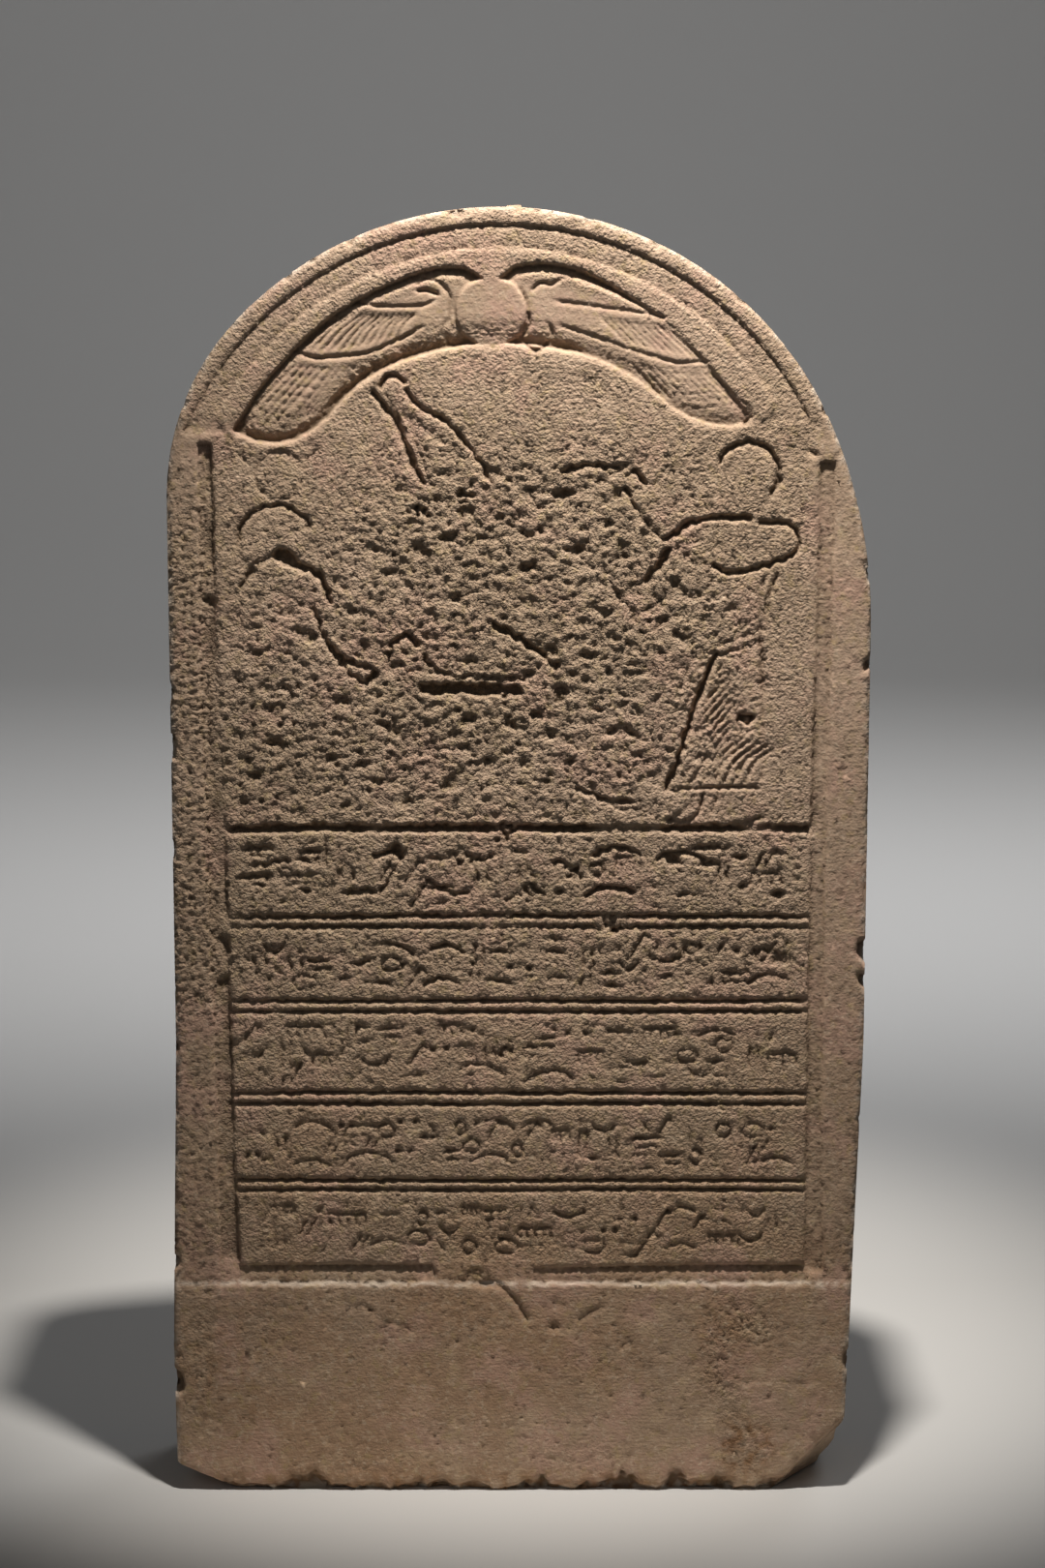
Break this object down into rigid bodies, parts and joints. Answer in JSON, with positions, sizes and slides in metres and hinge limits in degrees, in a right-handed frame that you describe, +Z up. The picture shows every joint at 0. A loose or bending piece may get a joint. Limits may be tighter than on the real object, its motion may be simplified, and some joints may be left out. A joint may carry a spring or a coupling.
{
  "type": "carved stone stele",
  "caption": "Round-topped limestone stele in worn sunk relief: winged disc, offering scene, ruled rows of strokes and a plain base band.",
  "frame": {"origin": "on the ground under the middle of the block: half its width and half its thickness", "axes": "+Z up, the carved front faces -Y, +X to the right of someone facing the front"},
  "size_m": [0.5916, 0.14, 1.0999],
  "materials": {
    "limestone": "matt warm beige limestone, tooled, weathered and stained"
  },
  "bodies": {
    "root": {"stele": "limestone"}
  },
  "joints": []
}
